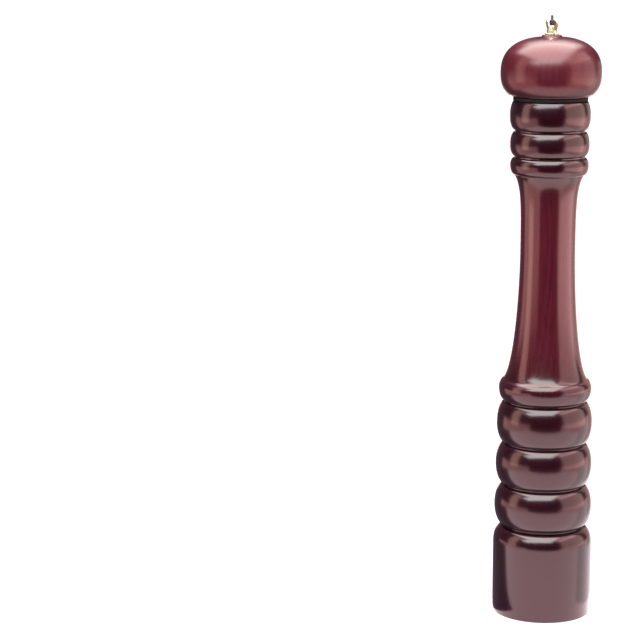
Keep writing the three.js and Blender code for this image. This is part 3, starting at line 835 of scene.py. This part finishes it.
def smooth_rise(value, low, high):
    """0 below low, 1 above high and a smooth step between them."""
    share = min(1.0, max(0.0, (value - low) / (high - low)))
    return share * share * (3 - 2 * share)


def rows_between(points):
    """The same profile with more rows, so that twisted teeth stay smooth."""
    rows = [points[0]]
    for (r0, z0), (r1, z1) in zip(points, points[1:]):
        count = max(1, round(math.hypot(r1 - r0, z1 - z0) / ROW_STEP))
        rows += [(r0 + (r1 - r0) * i / count, z0 + (z1 - z0) * i / count)
                 for i in range(1, count + 1)]
    return rows


def toothed(teeth, twist, depth_at, side):
    """Saw teeth with a twist in degrees a millimetre. They are cut inwards where side is -1, and
    outwards where it is 1."""
    slow = 0.94         # the share of a tooth that its long flank takes

    def shape(radius, height, angle):
        phase = (angle / CIRCLE * teeth + 1e-6) % 1
        flank = phase if phase < slow else (1 - phase) / (1 - slow) * slow
        turn = math.radians(twist) * height
        return radius + side * depth_at(radius, height) * flank, angle + turn
    return shape


def make_cone_burr():
    """The rotor: fine teeth low down, where it grinds, and deep ones above, which draw in."""
    _, bottom, top = span("cone_burr")
    narrowing = GRIND_SLOPE * (GRIND_TOP - bottom)
    flank = rows_between([
        (CONE_FOOT_RADIUS - 0.8, bottom), (CONE_FOOT_RADIUS, bottom + 0.6),
        (CONE_FOOT_RADIUS - narrowing / 2, (bottom + GRIND_TOP) / 2),
        (CONE_FOOT_RADIUS - narrowing, GRIND_TOP), *CONE_CROWN, (CONE_TOP_RADIUS, top),
    ])

    def depth_at(radius, height):
        if radius < CONE_TOP_RADIUS - 0.9:
            return 0.0
        rise = smooth_rise(height, FINE_TOP, COARSE_BOTTOM)
        return FINE_TOOTH + (COARSE_TOOTH - FINE_TOOTH) * rise

    piece = turned("burr_cone", [(0, bottom), *flank, (0, top)], CONE_TEETH * 24,
                   toothed(CONE_TEETH, CONE_TWIST, depth_at, -1), TOOTH_SHARP)
    hole = SHAFT_WIDTH + SQUARE_PLAY
    cut(piece, block("burr_hole", (hole, hole, top - bottom + 4), (0, 0, (bottom + top) / 2)))
    shade(piece.data, TOOTH_SHARP)
    install(piece, "cone_burr", "rotor", burr_steel)


def make_ring_burr():
    """The stator, whose bore keeps GRIND_GAP from the cone burr and opens out above it."""
    outer, bottom, top = span("ring_burr")
    _, cone_bottom, _ = span("cone_burr")

    def bore_radius(height):
        return CONE_FOOT_RADIUS + GRIND_GAP - GRIND_SLOPE * (height - cone_bottom)

    bore = rows_between([(13.2, top), (11.6, top - 3), (bore_radius(GRIND_TOP), GRIND_TOP),
                         (bore_radius(bottom), bottom)])

    def depth_at(radius, height):
        return 0.0 if radius > outer - 0.8 else 1.0

    rim = [(outer - 0.2, bottom), (outer, bottom + 0.2), (outer, top - 0.2), (outer - 0.2, top)]
    piece = turned("burr_ring", rim + bore, RING_TEETH * 20,
                   toothed(RING_TEETH, RING_TWIST, depth_at, 1), TOOTH_SHARP)
    install(piece, "ring_burr", "base", burr_steel)


def make_burr_case():
    """A sleeve with a ridge inside, which stops the ring burr from rising."""
    outer, bottom, top = span("burr_case")
    inner = outer - CASE_WALL
    stop = span("ring_burr")[2] + 0.3
    lip, edge = 0.1, 0.15
    piece = turned("case", [
        (inner, bottom + lip), (inner + lip, bottom),
        (outer - edge, bottom), (outer, bottom + edge),
        (outer, top - edge), (outer - edge, top),
        (inner + lip, top), (inner, top - lip),
        (inner, stop + 2.2), (STOP_RADIUS + 0.5, stop + 1.75), (STOP_RADIUS, stop + 1.2),
        (STOP_RADIUS, stop + 0.3), (STOP_RADIUS + 0.3, stop), (inner, stop),
    ], sides=128)
    install(piece, "burr_case", "base", plate_steel)


def make_guide_bridge():
    """A disc with four windows between its arms, through which the pepper falls."""
    outer, bottom, top = span("guide_bridge")
    hub, rim, arm = 7.2, 13.0, 3.2
    inner_half = math.pi / 4 - math.asin(arm / 2 / hub)
    outer_half = math.pi / 4 - math.asin(arm / 2 / rim)
    windows = []
    for quarter in range(4):
        middle = math.pi / 2 * quarter
        windows.append(arc(hub, middle - inner_half, middle + inner_half, 14)
                       + arc(rim, middle + outer_half, middle - outer_half, 14))
    piece = stamped("bridge", [circle(outer, steps=128), circle(GUIDE_HOLE), *windows],
                    bottom, top, edge=0.15)
    install(piece, "guide_bridge", "base", plate_steel)


def make_spring():
    """A wound spring, whose first and last turns are nearly closed and ground flat."""
    outer, low, high = span("burr_spring")
    wire = WIRE_RADIUS
    mean = outer - wire
    bottom, top = low + wire, high - wire
    closed_rise = wire * 1.05       # for each turn, where it is nearly closed

    def height_at(turn):
        if turn < CLOSED_TURNS:
            return bottom + closed_rise * turn
        if turn > SPRING_TURNS - CLOSED_TURNS:
            return top - closed_rise * (SPRING_TURNS - turn)
        share = (turn - CLOSED_TURNS) / (SPRING_TURNS - 2 * CLOSED_TURNS)
        start, end = bottom + closed_rise * CLOSED_TURNS, top - closed_rise * CLOSED_TURNS
        return start + (end - start) * share

    sides, steps_per_turn = 14, 48
    count = SPRING_TURNS * steps_per_turn
    points, faces = [], []
    for step in range(count + 1):
        turn = SPRING_TURNS * step / count
        angle = CIRCLE * turn
        height = height_at(turn)
        for side in range(sides):
            around = CIRCLE * side / sides
            r = mean + wire * math.cos(around)
            z = min(high, max(low, height + wire * math.sin(around)))
            points.append((r * math.cos(angle), r * math.sin(angle), z))
    for step in range(count):
        for side in range(sides):
            after = (side + 1) % sides
            a, b = step * sides, (step + 1) * sides
            faces.append([a + side, b + side, b + after, a + after])
    faces.append(list(range(sides)))
    faces.append([count * sides + side for side in reversed(range(sides))])
    mesh = bpy.data.meshes.new("spring")
    mesh.from_pydata(points, [], faces)
    clean(mesh, sharp_degrees=50)
    install(link("spring", mesh), "burr_spring", "rotor", plate_steel)


def make_washers():
    """The washers above and below the cone burr."""
    for node, name, inner in (("spring_seat", "seat_washer", GUIDE_HOLE),
                              ("thrust_washer", "thrust_ring", JOURNAL_RADIUS + 0.3)):
        radius, bottom, top = span(node)
        piece = turned(name, ring_profile(inner, radius, bottom, top))
        install(piece, node, "rotor", plate_steel)


def make_clip():
    """An open ring whose mouth points along +X."""
    radius, bottom, top = span("retaining_clip")
    half_mouth = CLIP_INNER - 0.3
    outside = math.asin(half_mouth / radius)
    inside = math.asin(half_mouth / CLIP_INNER)
    outline = (arc(radius, outside, CIRCLE - outside, 40)
               + arc(CLIP_INNER, CIRCLE - inside, inside, 40))
    piece = stamped("clip", [outline], bottom, top, edge=0.1)
    install(piece, "retaining_clip", "rotor", dark_steel)


# ---- cross bar ------------------------------------------------------------------------------


def make_cross_bar():
    """A strap with round ends and a round boss in the middle, and its two screws."""
    reach, bottom, top = span("cross_bar")
    end, boss, hole = 4.5, 7.2, 3.9
    meet = math.asin(end / boss)
    half = (arc(end, -math.pi / 2, math.pi / 2, 20, reach - end)
            + arc(boss, meet, math.pi - meet, 20))
    outline = half + [(-x, -y) for x, y in half]
    piece = stamped("bar", [
        outline, circle(hole),
        circle(BAR_SCREW_HOLE, 32, BAR_SCREW_X), circle(BAR_SCREW_HOLE, 32, -BAR_SCREW_X),
    ], bottom, top, edge=0.25)
    install(piece, "cross_bar", "base", plate_steel)
    for side in ("left", "right"):
        slotted_screw("bar_screw_" + side, "cross_bar_screw_" + side, "base",
                      BAR_SCREW_HEAD, BAR_SCREW_SHANK)


def make_bush():
    """A flanged bush, in which the shaft's journal turns."""
    radius, bottom, top = span("cross_bar_bush")
    inner, tube = JOURNAL_RADIUS + 0.3, 3.6
    flange = top - 0.9
    bush = turned("bush", [
        (inner, bottom + 0.2), (inner + 0.2, bottom), (tube - 0.1, bottom), (tube, bottom + 0.1),
        (tube, flange), (radius - 0.15, flange), (radius, flange + 0.15), (radius, top - 0.2),
        (radius - 0.2, top), (inner + 0.15, top), (inner, top - 0.15),
    ])
    install(bush, "cross_bar_bush", "base", brass)


for make in (make_body, make_head, make_turn_washer, make_shaft, make_wing_nut, make_nut_washer,
             make_drive_plate, make_cone_burr, make_ring_burr, make_burr_case, make_guide_bridge,
             make_spring, make_washers, make_clip, make_cross_bar, make_bush):
    make()


# ---- stage, lights and camera ---------------------------------------------------------------

# brightness, where pure white is 1
FLOOR_SEEN = (1.3, 1.3, 1.3)
FLOOR_GLOW = (1.7, 0.95, 0.93)  # the floor as the gloss of the mill shows it
BACKDROP_SEEN = 1.1
BACKDROP_GLOW = 0.05

# places of the floor and the cards, in metres
FLOOR_REACH = 6.0
FLOOR_DROP = 0.0002
CARD_FOOT = 0.001

CAMERA_PLACE = (-0.1589, -1.4026, 0.458)
CAMERA_TILT = 80                # degrees up from looking straight down
CAMERA_LENS = 114.08            # focal length in millimetres, on a sensor 36 mm wide
CAMERA_SENSOR = 36


def sheet(name, corners):
    """A flat face that belongs to the studio."""
    mesh = bpy.data.meshes.new(name)
    mesh.from_pydata(corners, [], [list(range(len(corners)))])
    obj = bpy.data.objects.new(name, mesh)
    bpy.context.scene.collection.objects.link(obj)
    return obj


def level(points, height):
    """Corners at one height."""
    return [(x, y, height) for x, y in points]


def upright(start, end, height):
    """Corners of an upright card that stands between two points of the floor."""
    return level([start, end], CARD_FOOT) + level([end, start], height)


def make_floor():
    """White to the camera, and warmer in the gloss of the mill."""
    reach = FLOOR_REACH
    floor = sheet("floor", level([(-reach, -reach), (reach, -reach), (reach, reach),
                                  (-reach, reach)], -FLOOR_DROP))
    paint = Paint("floor", Roughness=1.0, Specular_IOR_Level=0.0, Emission_Strength=1.0)
    paint.shader.inputs["Base Color"].default_value = (0.02, 0.02, 0.02, 1)
    seen = paint.add("ShaderNodeLightPath").outputs["Is Camera Ray"]
    paint.use(paint.mixed(seen, FLOOR_GLOW, FLOOR_SEEN), "Emission Color")
    floor.data.materials.append(paint.material)
    floor.visible_diffuse = False


def card(name, corners, glow):
    """A studio card of even brightness that shows only in the gloss of the mill."""
    face = sheet(name, corners)
    paint = Paint(name, Roughness=1.0, Specular_IOR_Level=0.0, Base_Color=(0, 0, 0, 1),
                  Emission_Color=(*glow, 1), Emission_Strength=1.0)
    face.data.materials.append(paint.material)
    face.visible_camera = False
    face.visible_diffuse = False
    face.visible_shadow = False
    face.visible_transmission = False


def soft_box(name, size, place, aim, radiance, colour=(1, 1, 1), lights_matt=False,
             lights_gloss=True):
    """A rectangular light of even brightness, aimed at a point. Sizes and places are in metres."""
    light = bpy.data.lights.new(name, "AREA")
    light.shape = "RECTANGLE"
    light.size, light.size_y = size
    light.energy = radiance * math.pi * size[0] * size[1]
    light.color = colour
    lamp = bpy.data.objects.new(name, light)
    bpy.context.scene.collection.objects.link(lamp)
    lamp.location = place
    lamp.rotation_mode = "QUATERNION"
    lamp.rotation_quaternion = (Vector(aim) - Vector(place)).to_track_quat("-Z", "Y")
    lamp.visible_camera = False
    lamp.visible_diffuse = lights_matt
    lamp.visible_glossy = lights_gloss


def make_world():
    world = bpy.data.worlds.new("studio")
    world.use_nodes = True
    tree = world.node_tree
    background = tree.nodes["Background"]
    background.inputs["Color"].default_value = (1, 1, 1, 1)
    seen = tree.nodes.new("ShaderNodeLightPath")
    strength = tree.nodes.new("ShaderNodeMapRange")
    strength.inputs["To Min"].default_value = BACKDROP_GLOW
    strength.inputs["To Max"].default_value = BACKDROP_SEEN
    tree.links.new(seen.outputs["Is Camera Ray"], strength.inputs["Value"])
    tree.links.new(strength.outputs["Result"], background.inputs["Strength"])
    bpy.context.scene.world = world


def make_camera():
    data = bpy.data.cameras.new("camera")
    data.sensor_width = CAMERA_SENSOR
    data.lens = CAMERA_LENS
    data.clip_start = 0.05
    data.clip_end = 50
    camera = bpy.data.objects.new("camera", data)
    bpy.context.scene.collection.objects.link(camera)
    camera.location = CAMERA_PLACE
    camera.rotation_euler = (math.radians(CAMERA_TILT), 0, 0)
    bpy.context.scene.camera = camera


def make_cards():
    """Dark and light cards round the mill and on the floor, each for one band in its gloss."""
    card("front_card", level([(-0.40, -0.47), (0.31, -0.47)], CARD_FOOT)
         + level([(0.92, -1.25), (-1.12, -1.25)], 0.85), (0.005, 0.004, 0.006))
    card("near_floor_card", level([(-0.45, -0.46), (0.45, -0.46), (0.45, 0.03), (-0.45, 0.03)],
                                  0.0003), (2.35, 1.85, 1.95))
    card("left_card", upright((-0.15, 0.06), (-0.15, 0.6), 0.40), (0.12, 0.08, 0.10))
    card("left_floor_card", level([(-0.45, 0.07), (-0.036, -0.03), (-0.036, 0.6), (-0.45, 0.6)],
                                  0.0006), (0.13, 0.09, 0.13))
    card("right_card", upright((0.16, 0.08), (0.30, 0.60), 0.42), (0.70, 0.45, 0.42))
    card("right_floor_card", level([(0.05, -0.03), (0.6, -0.05), (0.6, 0.7), (0.05, 0.7)],
                                   0.0006), (1.35, 1.15, 1.20))


def make_lights():
    """Three lights overhead and three at the sides for the gloss, and two keys for the colour."""
    soft_box("overhead", (1.7, 1.7), (-0.2, -0.1, 1.4), (-0.2, -0.1, 0), 6.6)
    soft_box("overhead_front", (2.56, 1.1), (-0.62, -1.5, 1.4), (-0.62, -1.5, 0), 7.2,
             colour=(0.8, 1, 1))
    soft_box("overhead_back", (1.2, 0.5), (0.2, 1.0, 1.4), (0.2, 1.0, 0), 2.6)
    soft_box("key_top", (2.0, 1.7), (-0.1, -0.1, 1.5), (-0.1, -0.1, 0), 3.0,
             lights_matt=True, lights_gloss=False)
    soft_box("key_front", (1.2, 1.2), (-0.3, -1.3, 1.0), (0, 0, 0.2), 5.5,
             lights_matt=True, lights_gloss=False)
    soft_box("left", (0.5, 1.3), (-1.2, -0.2, 0.58), (0, 0, 0.4), 2.3, colour=(1, 0.67, 0.56))
    soft_box("right", (1.1, 0.9), (0.75, -0.25, 0.40), (0, -0.1, 0.3), 1.8,
             colour=(1, 0.69, 0.67))
    soft_box("high_right", (1.3, 0.5), (0.8, -0.3, 1.05), (0, -0.1, 0.2), 2.6,
             colour=(1, 0.76, 0.76))


make_floor()
make_cards()
make_lights()
make_world()
make_camera()
bpy.context.scene.view_settings.view_transform = "Standard"
